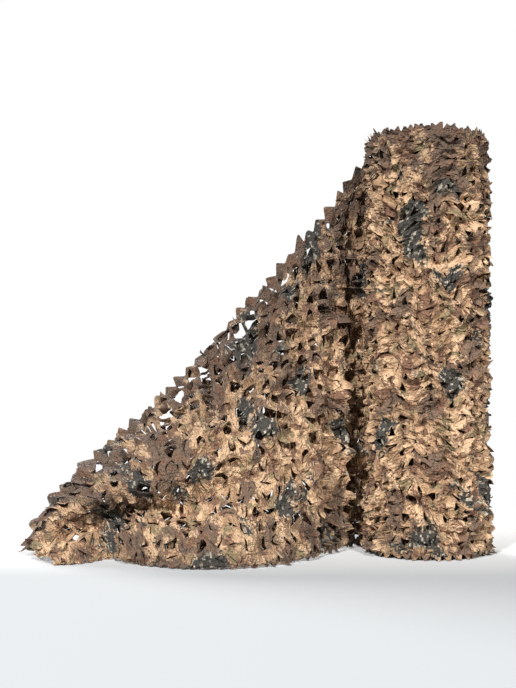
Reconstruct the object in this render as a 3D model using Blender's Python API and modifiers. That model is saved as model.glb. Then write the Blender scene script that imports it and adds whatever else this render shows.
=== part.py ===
"""Camouflage net: a bulk roll of leaf-cut cloth that stands on end, with its free end drawn out and draped.

The roll stands on the origin. Its free end leaves the back of the roll, runs towards -X and slopes down from
the top of the roll to the floor. Its hem swings forwards, towards -Y, in a rounded belly.
Two solids: the wound roll, and the loose end as a thin sheet with the net's larger gaps cut through.
Units are metres, +Z is up.
"""
import math

import bmesh
import bpy
import numpy as np

# The roll
ROLL_HEIGHT = 1.5            # the width of the cloth
ROLL_RADIUS = 0.2125         # where the free end leaves it
TURN_STEP = 0.006            # how far the outer turn stands out from the turn under it
LEAVING_ANGLE = math.radians(94)
ROLL_LUMP = 0.0045           # the unevenness of the winding
ROLL_SPREAD = 0.008          # how much wider the roll is at its foot
SPREAD_HEIGHT = 0.5
END_TURNS = 4                # main twists that show at the roll's upper end
END_RELIEF = 0.008
EYE_DEPTH = 0.025            # the dip at the middle of the upper end
FOOT_BEVEL = 0.010
ROLL_STEPS = 64
ROLL_ROWS = 22
END_RINGS = 12

# The loose end
SHEET_THICKNESS = 0.003
NET_PITCH = 0.111            # from gap to gap: twice the pitch of the real cuts
MESH_STEP = NET_PITCH / 3    # a gap is the middle one of three by three squares
LEAF_POINT = 0.012           # how far the points of the cut edge stand out
HEM_LIFT = 0.009             # how far the hem rises between two leaf points
HEM_CLEARANCE = 0.002        # the middle of the sheet's thickness above the floor
FOLD_FADE = 0.10             # a fold dies away over this height above the hem
SAMPLES_ALONG = 431
SAMPLES_DOWN = 301
CURVE_SAMPLES = 601

# Sections across the loose end, from the roll to the tip. Each runs from the upper edge, over the crest
# of the fold and back into the valley under it, out again over the skirt, and down to the hem.
SECTION_COLUMNS = ("edge_x", "edge_y", "edge_z", "crest_y", "crest_z", "valley_y", "valley_z",
                   "skirt_y", "skirt_z", "hem_x", "hem_y")
SECTIONS = (
    (0.030, 0.215, 1.497, 0.215, 1.050, 0.215, 0.700, 0.215, 0.350, 0.030, 0.215),
    (-0.110, 0.211, 1.462, 0.211, 1.020, 0.211, 0.680, 0.211, 0.340, -0.110, 0.211),
    (-0.222, 0.196, 1.402, 0.190, 0.980, 0.185, 0.640, 0.180, 0.320, -0.210, 0.180),
    (-0.330, 0.170, 1.247, 0.120, 0.860, 0.085, 0.560, 0.065, 0.270, -0.300, 0.062),
    (-0.450, 0.141, 1.112, 0.030, 0.680, -0.030, 0.470, -0.080, 0.220, -0.372, -0.078),
    (-0.600, 0.105, 0.933, -0.150, 0.500, -0.185, 0.350, -0.265, 0.170, -0.462, -0.253),
    (-0.760, 0.065, 0.762, -0.260, 0.390, -0.235, 0.280, -0.370, 0.140, -0.605, -0.395),
    (-0.940, 0.021, 0.555, -0.290, 0.295, -0.205, 0.185, -0.370, 0.095, -0.831, -0.425),
    (-1.130, -0.027, 0.392, -0.230, 0.240, -0.130, 0.165, -0.260, 0.085, -1.012, -0.320),
    (-1.300, -0.068, 0.235, -0.190, 0.170, -0.105, 0.105, -0.170, 0.060, -1.120, -0.205),
    (-1.380, -0.086, 0.120, -0.175, 0.120, -0.175, 0.065, -0.260, 0.055, -1.200, -0.300),
    (-1.431, -0.100, 0.013, -0.150, 0.030, -0.210, 0.014, -0.270, 0.025, -1.275, -0.338),
)

# Folds: each is a soft ridge (height over 0) or trough (under 0) from its start to its end, given as
# the distance along the upper edge from the roll and the height up the cloth from the hem.
FOLD_COLUMNS = ("start_along", "start_up", "end_along", "end_up", "half_width", "height")
FOLDS = (
    (0.34, 1.25, 0.37, 0.12, 0.035, -0.020),
    (0.38, 1.20, 0.47, 0.08, 0.040, 0.024),
    (0.43, 1.10, 0.59, 0.12, 0.040, -0.022),
    (0.50, 1.05, 0.73, 0.15, 0.050, 0.022),
    (0.60, 0.98, 0.91, 0.25, 0.050, -0.020),
    (0.72, 0.92, 1.12, 0.36, 0.050, 0.017),
    (0.90, 0.85, 1.32, 0.42, 0.050, -0.015),
    (1.05, 0.28, 1.08, 0.06, 0.050, -0.014),
    (1.20, 0.24, 1.22, 0.05, 0.050, 0.014),
    (1.33, 0.24, 1.36, 0.06, 0.050, -0.014),
    (1.42, 0.62, 1.74, 0.36, 0.050, 0.016),
    (1.56, 0.55, 1.86, 0.30, 0.045, -0.014),
    (1.58, 0.16, 1.62, 0.05, 0.045, 0.014),
    (1.78, 0.18, 1.92, 0.10, 0.045, 0.012),
)

COLOURS = {
    "net_roll": (0.36, 0.24, 0.15, 1.0),
    "net_loose_end": (0.42, 0.29, 0.18, 1.0),
}
CLOTH_ROUGHNESS = 0.85


def smooth_step(value):
    """0 below 0, 1 above 1, and an even S between them."""
    value = np.clip(value, 0.0, 1.0)
    return value * value * (3.0 - 2.0 * value)


def curve_through(knots, rows, where):
    """Points of a smooth curve through the rows, which lie at the knots along it."""
    slopes = np.gradient(rows, knots, axis=0)
    start = np.clip(np.searchsorted(knots, where, side="right") - 1, 0, len(knots) - 2)
    span = (knots[start + 1] - knots[start])[:, None]
    part = (where - knots[start])[:, None] / span
    square = part * part
    cube = square * part
    return ((2 * cube - 3 * square + 1) * rows[start]
            + (cube - 2 * square + part) * span * slopes[start]
            + (3 * square - 2 * cube) * rows[start + 1]
            + (cube - square) * span * slopes[start + 1])


def lengths_along(points):
    """Distance along a line of points, from its start to each of them."""
    steps = np.linalg.norm(np.diff(points, axis=0), axis=1)
    return np.concatenate(([0.0], np.cumsum(steps)))


def section_line(section):
    """One section of the loose end as evenly spaced points, from the hem up to the edge."""
    row = dict(zip(SECTION_COLUMNS, section))
    corners = np.array([
        (row["hem_y"], HEM_CLEARANCE),
        (row["skirt_y"], row["skirt_z"]),
        (row["valley_y"], row["valley_z"]),
        (row["crest_y"], row["crest_z"]),
        (row["edge_y"], row["edge_z"]),
    ])
    gaps = np.linalg.norm(np.diff(corners, axis=0), axis=1) ** 0.6
    knots = np.concatenate(([0.0], np.cumsum(gaps)))
    profile = curve_through(knots, corners, np.linspace(0.0, knots[-1], CURVE_SAMPLES))
    risen = lengths_along(profile)
    across = row["hem_x"] + (row["edge_x"] - row["hem_x"]) * risen / risen[-1]
    points = np.column_stack((across, profile))
    length = lengths_along(points)
    even = np.linspace(0.0, length[-1], SAMPLES_DOWN)
    return length[-1], np.column_stack([np.interp(even, length, points[:, axis]) for axis in range(3)])


def fold_height(along, up):
    """Sum of the folds at places on the cloth: each is a bell across its line, and fades at its ends."""
    total = np.zeros_like(along)
    for fold in FOLDS:
        row = dict(zip(FOLD_COLUMNS, fold))
        run = np.array((row["end_along"] - row["start_along"], row["end_up"] - row["start_up"]))
        length = np.linalg.norm(run)
        run = run / length
        beside = along - row["start_along"]
        above = up - row["start_up"]
        forward = beside * run[0] + above * run[1]
        sideways = beside * run[1] - above * run[0]
        fade = smooth_step(forward / (0.3 * length)) * smooth_step((length - forward) / (0.3 * length) + 0.5)
        total += row["height"] * fade * np.exp(-(sideways / row["half_width"]) ** 2)
    return total * smooth_step(up / FOLD_FADE)


class LooseEnd:
    """The hanging shape of the loose end, as a function of place on the cloth."""

    def __init__(self):
        table = np.array(SECTIONS)
        knots = lengths_along(table[:, :3])
        fine = np.linspace(0.0, knots[-1], CURVE_SAMPLES)
        edge_length = lengths_along(curve_through(knots, table, fine)[:, :3])
        self.length = edge_length[-1]
        self.along = np.linspace(0.0, self.length, SAMPLES_ALONG)
        sections = curve_through(knots, table, np.interp(self.along, edge_length, fine))
        lines = [section_line(section) for section in sections]
        self.heights = np.array([line[0] for line in lines])
        points = np.array([line[1] for line in lines])
        outward = np.cross(np.gradient(points, axis=1), np.gradient(points, axis=0))
        outward = outward / np.linalg.norm(outward, axis=2, keepdims=True)
        along = np.broadcast_to(self.along[:, None], points.shape[:2])
        up = np.linspace(0.0, 1.0, SAMPLES_DOWN)[None, :] * self.heights[:, None]
        self.points = points + outward * fold_height(along, up)[:, :, None]

    def height(self, along):
        """How far the cloth reaches up from the hem, measured on the cloth."""
        return float(np.interp(along, self.along, self.heights))

    def point(self, along, up):
        """The place in space of a place on the cloth. Past the upper edge the cloth runs on straight."""
        column = along / self.length * (SAMPLES_ALONG - 1)
        left = min(int(column), SAMPLES_ALONG - 2)
        side = column - left
        line = self.points[left] * (1.0 - side) + self.points[left + 1] * side
        row = up / self.height(along) * (SAMPLES_DOWN - 1)
        below = min(int(row), SAMPLES_DOWN - 2)
        return line[below] + (line[below + 1] - line[below]) * (row - below)


def cloth_material(name):
    """Matt printed cloth in the part's middle colour."""
    material = bpy.data.materials.new(name + "_cloth")
    material.use_nodes = True
    shader = material.node_tree.nodes["Principled BSDF"]
    shader.inputs["Base Color"].default_value = COLOURS[name]
    shader.inputs["Roughness"].default_value = CLOTH_ROUGHNESS
    shader.inputs["Metallic"].default_value = 0.0
    material.diffuse_color = COLOURS[name]
    return material


def add_part(name, mesh, collection):
    """Puts a mesh into the scene as a part with its own material."""
    part = bpy.data.objects.new(name, mesh)
    mesh.materials.append(cloth_material(name))
    collection.objects.link(part)
    return part


def roll_profile():
    """Half of the roll's outline at +X: over the upper end, down the side and under the foot."""
    end = [(ROLL_RADIUS * ring / END_RINGS, ROLL_HEIGHT) for ring in range(END_RINGS + 1)]
    side = [(ROLL_RADIUS, ROLL_HEIGHT + (FOOT_BEVEL - ROLL_HEIGHT) * row / ROLL_ROWS)
            for row in range(1, ROLL_ROWS + 1)]
    foot = [(ROLL_RADIUS - FOOT_BEVEL, 0.0), (0.0, 0.0)]
    return end + side + foot


def wound_shape(points):
    """Turns a plain cylinder's points into the wound roll.

    The side is a spiral of one turn, with low lumps and a slight spread at the foot. It is left even where
    the loose end starts. The upper end has a spiral groove and a dip at its middle.
    """
    radius = np.hypot(points[:, 0], points[:, 1])
    angle = np.arctan2(points[:, 1], points[:, 0])
    height = points[:, 2]
    turn = np.mod(angle - LEAVING_ANGLE, 2 * math.pi) / (2 * math.pi)
    free = smooth_step(turn / 0.06) * smooth_step((1.0 - turn) / 0.10)
    lumps = (np.sin(3 * angle + 9.0 * height) + np.sin(5 * angle - 14.0 * height + 1.3)
             + np.sin(2 * angle + 5.0 * height + 4.0)) / 3.0
    spread = ROLL_SPREAD * smooth_step(1.0 - height / SPREAD_HEIGHT)
    grown = -TURN_STEP * (1.0 - turn) + free * (ROLL_LUMP * (lumps + 0.6) + spread)
    scale = 1.0 + grown / ROLL_RADIUS
    groove = 0.5 + 0.5 * np.cos(2 * math.pi * (END_TURNS * radius / ROLL_RADIUS - angle / (2 * math.pi)))
    dip = EYE_DEPTH * smooth_step(1.0 - 4.0 * radius / ROLL_RADIUS)
    on_end = (height > ROLL_HEIGHT - 1e-6) & (radius < ROLL_RADIUS - 1e-6)
    lowered = np.where(on_end, END_RELIEF * groove * smooth_step(6.0 * radius / ROLL_RADIUS) + dip, 0.0)
    return np.column_stack((points[:, 0] * scale, points[:, 1] * scale, height - lowered))


def make_roll(collection):
    """The wound roll: a turned profile, made uneven as a whole."""
    outline = roll_profile()
    mesh = bpy.data.meshes.new("roll_profile")
    mesh.from_pydata([(x, 0.0, z) for x, z in outline], [(i, i + 1) for i in range(len(outline) - 1)], [])
    turned = bpy.data.objects.new("roll_turned", mesh)
    collection.objects.link(turned)
    screw = turned.modifiers.new("Turn", "SCREW")
    screw.steps = ROLL_STEPS
    screw.render_steps = ROLL_STEPS
    screw.use_merge_vertices = True
    screw.merge_threshold = 0.0001
    graph = bpy.context.evaluated_depsgraph_get()
    body = bpy.data.meshes.new_from_object(turned.evaluated_get(graph))
    bpy.data.objects.remove(turned, do_unlink=True)
    bpy.data.meshes.remove(mesh)
    body.name = "net_roll"
    flat = np.empty(3 * len(body.vertices))
    body.vertices.foreach_get("co", flat)
    body.vertices.foreach_set("co", wound_shape(flat.reshape(-1, 3)).ravel())
    body.shade_smooth()
    body.set_sharp_from_angle(angle=math.radians(50))
    return add_part("net_roll", body, collection)


def net_columns(cloth):
    """Points of the loose end in columns from the roll to the tip, each from the hem to the upper edge."""
    count = round(cloth.length / MESH_STEP)
    columns = []
    for index in range(count + 1):
        along = cloth.length * index / count
        height = cloth.height(along)
        rows = max(2, round(height / MESH_STEP))
        pointed = index % 2 == 0
        levels = [row * MESH_STEP for row in range(rows)]
        levels.append(height + (LEAF_POINT if pointed else 0.0))
        column = [cloth.point(along, level) for level in levels]
        if not pointed:
            column[0] = column[0] + np.array((0.0, 0.0, HEM_LIFT))
        columns.append(column)
    return columns


def net_faces(columns):
    """Faces between neighbouring columns. The middle square of each three by three is left open."""
    faces = []
    starts = np.concatenate(([0], np.cumsum([len(column) for column in columns])))
    for index in range(len(columns) - 1):
        left = int(starts[index])
        right = int(starts[index + 1])
        left_rows = len(columns[index]) - 1
        right_rows = len(columns[index + 1]) - 1
        shared = min(left_rows, right_rows)
        inside = 0 < index < len(columns) - 2 and index % 3 == 1
        for row in range(shared):
            if inside and row % 3 == 1 and row < shared - 1:
                continue
            faces.append((left + row, right + row, right + row + 1, left + row + 1))
        for row in range(shared, left_rows):
            faces.append((left + row, right + shared, left + row + 1))
        for row in range(shared, right_rows):
            faces.append((left + shared, right + row, right + row + 1))
    return faces


def make_loose_end(collection):
    """The loose end: a draped open surface that takes the cloth's thickness from Solidify."""
    columns = net_columns(LooseEnd())
    mesh = bpy.data.meshes.new("net_loose_end")
    mesh.from_pydata([tuple(point) for column in columns for point in column], [], net_faces(columns))
    shell = bmesh.new()
    shell.from_mesh(mesh)
    bmesh.ops.recalc_face_normals(shell, faces=shell.faces)
    shell.to_mesh(mesh)
    shell.free()
    mesh.shade_smooth()
    part = add_part("net_loose_end", mesh, collection)
    solidify = part.modifiers.new("Thickness", "SOLIDIFY")
    solidify.thickness = SHEET_THICKNESS
    solidify.offset = 0.0
    return part


def main():
    for old in list(bpy.data.objects):
        bpy.data.objects.remove(old, do_unlink=True)
    collection = bpy.data.collections.new("Camouflage net")
    bpy.context.scene.collection.children.link(collection)
    make_roll(collection)
    make_loose_end(collection)


main()
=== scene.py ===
"""Camouflage net: a bulk roll of leaf-cut cloth on end, with its free end draped to the floor."""
import math

import bpy
import numpy as np
from bpy.props import FloatProperty, FloatVectorProperty, IntProperty, PointerProperty
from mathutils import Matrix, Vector


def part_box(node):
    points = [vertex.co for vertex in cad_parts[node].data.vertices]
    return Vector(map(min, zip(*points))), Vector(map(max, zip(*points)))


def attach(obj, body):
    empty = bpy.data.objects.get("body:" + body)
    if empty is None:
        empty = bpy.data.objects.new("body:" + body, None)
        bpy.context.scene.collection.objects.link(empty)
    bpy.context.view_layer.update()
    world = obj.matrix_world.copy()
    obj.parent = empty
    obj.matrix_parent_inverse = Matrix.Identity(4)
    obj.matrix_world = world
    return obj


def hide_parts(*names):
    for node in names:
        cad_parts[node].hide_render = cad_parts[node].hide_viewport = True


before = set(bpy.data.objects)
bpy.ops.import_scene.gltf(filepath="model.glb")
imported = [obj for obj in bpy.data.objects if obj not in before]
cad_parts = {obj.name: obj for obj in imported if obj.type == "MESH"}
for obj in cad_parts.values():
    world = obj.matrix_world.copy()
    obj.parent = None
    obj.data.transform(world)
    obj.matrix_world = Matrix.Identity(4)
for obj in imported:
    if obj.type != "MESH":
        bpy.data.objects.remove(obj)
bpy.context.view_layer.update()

bl_info = {
    "name": "Leaf-Cut Camouflage Net",
    "version": (1, 0, 0),
    "blender": (4, 5, 0),
    "location": "3D View > Sidebar > Net",
    "description": "Models a roll of leaf-cut camouflage netting with its loose end draped to the floor",
    "category": "Add Mesh",
}

ROLL_LOW, ROLL_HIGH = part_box("net_roll")
ROLL_HEIGHT = ROLL_HIGH[2] - ROLL_LOW[2]
WHITE = (1.0, 1.0, 1.0)


# ---------------- settings


def linear(code):
    """A colour given as six hex digits of sRGB, as the linear values that a shader takes."""
    channels = [int(code[index:index + 2], 16) / 255 for index in (0, 2, 4)]
    return tuple(c / 12.92 if c <= 0.04045 else ((c + 0.055) / 1.055) ** 2.4 for c in channels)


def colour_property(name, description, code):
    return FloatVectorProperty(name=name, description=description, default=linear(code),
                               subtype="COLOR", size=3, min=0.0, max=1.0)


def length_property(name, description, default):
    return FloatProperty(name=name, description=description, default=default, min=0.0,
                         unit="LENGTH", subtype="DISTANCE", precision=4)


class NetCuts(bpy.types.PropertyGroup):
    """The leaf-shaped cuts of the cloth."""

    along: length_property("Pitch along", "From cut to cut along the loose end", 0.066)
    up: length_property("Pitch across", "From cut to cut across the loose end", 0.056)
    roll: length_property("Pitch on the roll", "From cut to cut on the roll", 0.041)
    thickness: length_property("Cloth thickness", "Thickness of the cloth with its coating", 0.0008)
    point: length_property("Leaf point", "How far the points of the cut edge stand out", 0.028)
    seed: IntProperty(name="Seed", description="Chooses the crumpling of the leaves", default=11)


class NetPrint(bpy.types.PropertyGroup):
    """The printed colours and the scale of the print."""

    sand: colour_property("Sand", "Ground colour of the print", "c8a683")
    tan: colour_property("Tan", "Middle tone of the print", "a68463")
    brown: colour_property("Brown", "Dark brown of the print", "775640")
    khaki: colour_property("Khaki", "Greenish tone of the print", "857353")
    charcoal: colour_property("Charcoal", "Near-black grey of the dark patches", "3b3731")
    speck: colour_property("Speck", "Pale squares of the print", "a59c8c")
    umber: colour_property("Umber", "Grey-brown of the broad zones", "6f5846")
    # Colour of the cloth deep in the roll, painted dark for the shade in there.
    inside: colour_property("Inner turns", "Cloth deep in the roll", "3a2a20")
    # Tint of the layer behind the loose end: painted shade, which darkens the print seen through the holes.
    reverse: colour_property("Reverse", "Tint of the print on the cloth's reverse side", "e2d9d0")
    square: length_property("Square", "Side of the print's small squares", 0.0065)
    patch: length_property("Patch", "Size of the dark patches", 0.20)


class NetStage(bpy.types.PropertyGroup):
    """Floor, lights and camera."""

    floor: colour_property("Floor", "Colour of the floor", "b6babd")
    key: FloatProperty(name="Key light", description="Irradiance that the lights share",
                       default=5.9, min=0.0)
    sky: FloatProperty(name="Sky", description="Brightness of the light from all round",
                       default=0.19, min=0.0)
    lens: FloatProperty(name="Lens", description="Focal length in millimetres", default=77.6, min=1.0)


# ---------------- small helpers


def smooth_step(value):
    """0 below 0, 1 above 1, and an even S between them."""
    value = np.clip(value, 0.0, 1.0)
    return value * value * (3.0 - 2.0 * value)


def set_in(value, start, length):
    """0 before the start, 1 past the length that follows, and an even S between them."""
    return smooth_step((value - start) / length)


def curve_through(knots, rows, where):
    """Points of a smooth cubic through the rows at the knots, with slopes from their neighbours."""
    slopes = np.gradient(rows, knots, axis=0)
    start = np.clip(np.searchsorted(knots, where, side="right") - 1, 0, len(knots) - 2)
    span = (knots[start + 1] - knots[start])[:, None]
    part = (where - knots[start])[:, None] / span
    square = part * part
    cube = square * part
    return ((2 * cube - 3 * square + 1) * rows[start] + (cube - 2 * square + part) * span * slopes[start]
            + (3 * square - 2 * cube) * rows[start + 1] + (cube - square) * span * slopes[start + 1])


def lengths_along(points):
    """Distance along a line of points, from its start to each of them."""
    return np.concatenate(([0.0], np.cumsum(np.linalg.norm(np.diff(points, axis=0), axis=1))))


def running_mean(grid, reach, axis):
    """Mean over the samples within reach on both sides along an axis; the end samples are repeated."""
    padding = [(0, 0)] * grid.ndim
    padding[axis] = (reach + 1, reach)
    total = np.cumsum(np.pad(grid, padding, mode="edge"), axis=axis)
    last = total.shape[axis]
    window = 2 * reach + 1
    return (np.take(total, range(window, last), axis) - np.take(total, range(last - window), axis)) / window


def value_noise(x, y, random, size=64):
    """Smooth noise from -1 to 1: random values at whole numbers, blended by an S between them."""
    table = random.uniform(-1.0, 1.0, (size, size))
    left, below = np.floor(x).astype(int), np.floor(y).astype(int)
    side, rise = smooth_step(x - left), smooth_step(y - below)

    def at(i, j):
        return table[(left + i) % size, (below + j) % size]

    low = at(0, 0) * (1 - side) + at(1, 0) * side
    high = at(0, 1) * (1 - side) + at(1, 1) * side
    return low * (1 - rise) + high * rise


def waves(table, angle, up):
    """Sum of sine waves over the roll, each with its height, waves round and up the roll, and phase."""
    return sum(height * np.sin(round_roll * angle + up_roll * up + phase)
               for height, round_roll, up_roll, phase in table)


def add_object(name, data):
    """An object that shows a mesh, a light or a camera, put into the scene."""
    added = bpy.data.objects.new(name, data)
    bpy.context.scene.collection.objects.link(added)
    return added


# ---------------- hanging shape of the loose end

# Sections across the loose end in millimetres, as in the solid: from the roll to the tip, each from the upper
# edge, over the crest of the fold, back into the valley under it, out over the skirt and down to the hem. The
# columns are edge x, y and z, y and z of the crest, the valley and the skirt, and hem x and y.
SECTIONS = (
    (30, 215, 1497, 215, 1050, 215, 700, 215, 350, 30, 215),
    (-110, 211, 1462, 211, 1020, 211, 680, 211, 340, -110, 211),
    (-222, 196, 1402, 190, 980, 185, 640, 180, 320, -210, 180),
    (-330, 170, 1247, 120, 860, 85, 560, 65, 270, -300, 62),
    (-450, 141, 1112, 30, 680, -30, 470, -80, 220, -372, -78),
    (-600, 105, 933, -150, 500, -185, 350, -265, 170, -462, -253),
    (-760, 65, 762, -260, 390, -235, 280, -370, 140, -605, -395),
    (-940, 21, 555, -290, 295, -205, 185, -370, 95, -831, -425),
    (-1130, -27, 392, -230, 240, -130, 165, -260, 85, -1012, -320),
    (-1300, -68, 235, -190, 170, -105, 105, -170, 60, -1120, -205),
    (-1380, -86, 120, -175, 120, -175, 65, -260, 55, -1200, -300),
    (-1431, -100, 13, -150, 30, -210, 14, -270, 25, -1275, -338),
)
# Folds on the flat cloth, in millimetres: start along and up, end along and up, half width and height.
FOLDS = (
    (340, 1250, 370, 120, 35, -20),
    (380, 1200, 470, 80, 40, 24),
    (430, 1100, 590, 120, 40, -22),
    (500, 1050, 730, 150, 50, 22),
    (600, 980, 910, 250, 50, -20),
    (720, 920, 1120, 360, 50, 17),
    (900, 850, 1320, 420, 50, -15),
    (1050, 280, 1080, 60, 50, -14),
    (1200, 240, 1220, 50, 50, 14),
    (1330, 240, 1360, 60, 50, -14),
    (1420, 620, 1740, 360, 50, 16),
    (1560, 550, 1860, 300, 45, -14),
    (1580, 160, 1620, 50, 45, 14),
    (1780, 180, 1920, 100, 45, 12),
)
# Sharper creases between them, in the same columns.
CREASES = (
    (1200, 215, 1500, 300, 26, -26),
    (1460, 300, 1800, 255, 24, -18),
    (1250, 400, 1020, 440, 12, -10),
    (1270, 330, 1080, 350, 14, 12),
    (1200, 270, 1000, 300, 14, -10),
    (1340, 560, 1220, 400, 16, 12),
    (1050, 560, 950, 340, 16, -11),
    (920, 480, 840, 200, 20, 12),
    (800, 420, 740, 120, 16, -14),
    (660, 500, 620, 150, 18, 14),
    (560, 600, 540, 120, 16, -16),
    (470, 900, 460, 200, 18, 12),
    (1420, 180, 1520, 60, 20, 12),
    (1660, 240, 1860, 130, 20, -12),
)
FOLD_ENDS, FOLD_FADE = 0.3, 0.10    # share of a fold's length, and height, over which it sets in
KNOT_POWER = 0.6
HEM_CLEARANCE, FLOOR_CLEARANCE = 0.002, 0.0008
SAMPLES_ALONG, SAMPLES_DOWN, CURVE_SAMPLES, TIP_SAMPLES = 431, 301, 601, 8
EVEN_REACH, EVEN_PASSES = (28, 42), 2    # samples along and down
SKIRT_TOP, SKIRT_START, SKIRT_BLEND, SKIRT_CLOSED, SKIRT_CALM = 0.66, 0.45, 0.30, 0.48, 0.50
SELVEDGE_BAND, SELVEDGE_OPENED = 0.30, 0.25


def section_line(section):
    """The length of one section and evenly spaced points on it, from the hem up to the edge."""
    edge_x, edge_y, edge_z, crest_y, crest_z, valley_y, valley_z, skirt_y, skirt_z, hem_x, hem_y = section
    corners = np.array([(hem_y, HEM_CLEARANCE), (skirt_y, skirt_z), (valley_y, valley_z), (crest_y, crest_z),
                        (edge_y, edge_z)])
    steps = np.linalg.norm(np.diff(corners, axis=0), axis=1) ** KNOT_POWER
    knots = np.concatenate(([0.0], np.cumsum(steps)))
    profile = curve_through(knots, corners, np.linspace(0.0, knots[-1], CURVE_SAMPLES))
    risen = lengths_along(profile)
    across = hem_x + (edge_x - hem_x) * risen / risen[-1]
    points = np.column_stack((across, profile))
    length = lengths_along(points)
    even = np.linspace(0.0, length[-1], SAMPLES_DOWN)
    return length[-1], np.column_stack([np.interp(even, length, points[:, axis]) for axis in range(3)])


def fold_height(along, up):
    """Sum of the folds: each is a bell across its line, faded in and out at the line's ends."""
    total = np.zeros_like(along)
    for start_along, start_up, end_along, end_up, half_width, height in np.array(FOLDS + CREASES) / 1000:
        run = np.array((end_along - start_along, end_up - start_up))
        length = np.linalg.norm(run)
        run = run / length
        forward = (along - start_along) * run[0] + (up - start_up) * run[1]
        sideways = (along - start_along) * run[1] - (up - start_up) * run[0]
        ends = FOLD_ENDS * length
        fade = smooth_step(forward / ends) * smooth_step((length - forward) / ends + 0.5)
        total += height * fade * np.exp(-(sideways / half_width) ** 2)
    return total * smooth_step(up / FOLD_FADE)


class Drape:
    """The loose end's surface: blended sections, with the folds raised square to them.

    Places on the cloth are metres along the upper edge and metres up from the hem.
    """

    slant = 0.52    # distance square to the sloping selvedge over that straight down from it
    # The band along the edges gets more umber and painted shade; the hem counts as this far from its edge.
    hem_umber_and_shade = (0.11, 0.9)    # distance that the hem counts as, and its growth upwards

    def __init__(self):
        table = np.array(SECTIONS) / 1000
        knots = lengths_along(table[:, :3])
        fine = np.linspace(0.0, knots[-1], CURVE_SAMPLES)
        edge_length = lengths_along(curve_through(knots, table, fine)[:, :3])
        self.length = edge_length[-1]
        self.along = np.linspace(0.0, self.length, SAMPLES_ALONG)
        sections = curve_through(knots, table, np.interp(self.along, edge_length, fine))
        lines = [section_line(section) for section in sections]
        self.heights = np.array([line[0] for line in lines])
        points = np.array([line[1] for line in lines])
        along = np.broadcast_to(self.along[:, None], points.shape[:2])
        up = np.linspace(0.0, 1.0, SAMPLES_DOWN)[None, :] * self.heights[:, None]
        even = self.outward(points)
        self.points = points + even * fold_height(along, up)[:, :, None]
        self.normals = self.outward(self.points)
        for _ in range(EVEN_PASSES):
            for axis, reach in enumerate(EVEN_REACH):
                even = running_mean(even, reach, axis)
        self.even_normals = even / np.linalg.norm(even, axis=2, keepdims=True)

    @staticmethod
    def outward(points):
        """Unit normals of a grid of points, which face the side that shows."""
        normals = np.cross(np.gradient(points, axis=1), np.gradient(points, axis=0))
        return normals / np.linalg.norm(normals, axis=2, keepdims=True)

    def height(self, along):
        """Length of the cloth from the hem to the upper edge."""
        return np.interp(along, self.along, self.heights)

    def openness(self, along, up):
        """How far the cuts are pulled open: least in the skirt, most along the upper selvedge."""
        selvedge = smooth_step(1.0 - (self.height(along) - up) / SELVEDGE_BAND)
        return 1.0 - SKIRT_CLOSED * self.skirt(along, up) + SELVEDGE_OPENED * selvedge

    def unrest(self, along, up):
        """How strongly the cloth is crumpled."""
        return 1.0 - SKIRT_CALM * self.skirt(along, up)

    @staticmethod
    def skirt(along, up):
        """1 in the part that is spread over the floor, 0 in the part that hangs."""
        return smooth_step((SKIRT_TOP - up) / SKIRT_BLEND) * set_in(along, SKIRT_START, SKIRT_BLEND)

    def place(self, along, up, lift, depth=None):
        """Points at places on the cloth, each moved by its lift along the cloth's outward normal.

        A depth sets them back along the normals' mean over a wide part of the cloth, so that the layer behind
        isn't stretched in the folds. Below the hem and past the tip the cloth goes straight on.
        """
        column = np.clip(along, 0.0, self.length) / self.length * (SAMPLES_ALONG - 1)
        left = np.clip(column.astype(int), 0, SAMPLES_ALONG - 2)
        side = (column - left)[..., None]
        row = up / self.height(along) * (SAMPLES_DOWN - 1)
        below = np.clip(row.astype(int), 0, SAMPLES_DOWN - 2)
        above = (row - below)[..., None]

        def mix(grid, rise):
            low = grid[left, below] * (1 - side) + grid[left + 1, below] * side
            high = grid[left, below + 1] * (1 - side) + grid[left + 1, below + 1] * side
            return low + (high - low) * rise

        normals = mix(self.normals, np.clip(above, 0, 1))
        points = mix(self.points, np.maximum(above, 0.0)) + normals * lift[..., None]
        if depth is not None:
            points = points - mix(self.even_normals, np.clip(above, 0, 1)) * depth[..., None]
        points = points + np.maximum(-up, 0.0)[..., None] * normals * (1.0, 1.0, 0.0)
        past_end = (along - np.clip(along, 0.0, self.length))[..., None]
        tip_run = self.points[-1, 0] - self.points[-TIP_SAMPLES, 0]
        points = points + past_end * tip_run / np.linalg.norm(tip_run)
        points[..., 2] = np.maximum(points[..., 2], FLOOR_CLEARANCE)
        return points


UNDER_DEPTH = 0.045
UNDER_PITCH = 1.06    # over the front's, so that the cuts of the two don't line up
UNDER_UNREST, UNDER_LEAST_OPEN = 0.5, 0.05
# Where along the layer behind opens and moves back, and from which height of the cloth: start and length.
UNDER_OPENS, UNDER_LEAVES_ROLL, UNDER_LEAVES_TIP = (0.25, 0.35), (0.15, 0.60), (0.175, 0.7)
UNDER_LEAVES_HEM = 0.10


class Behind(Drape):
    """The layer a little behind the loose end, which it meets at the hem, beside the roll and at the tip."""

    def openness(self, along, up):
        """Nearly closed beside the roll, and open further along."""
        return UNDER_LEAST_OPEN + (1.0 - UNDER_LEAST_OPEN) * set_in(along, *UNDER_OPENS)

    def unrest(self, along, up):
        return np.full_like(along, UNDER_UNREST)

    def place(self, along, up, lift):
        """The front's place, set back by a depth that sets in past the hem, the roll and the tip."""
        depth = UNDER_DEPTH * smooth_step(up / UNDER_LEAVES_HEM) * set_in(along, *UNDER_LEAVES_ROLL)
        return super().place(along, up, lift, depth * set_in(self.height(along), *UNDER_LEAVES_TIP))


# ---------------- the roll's surfaces

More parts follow.
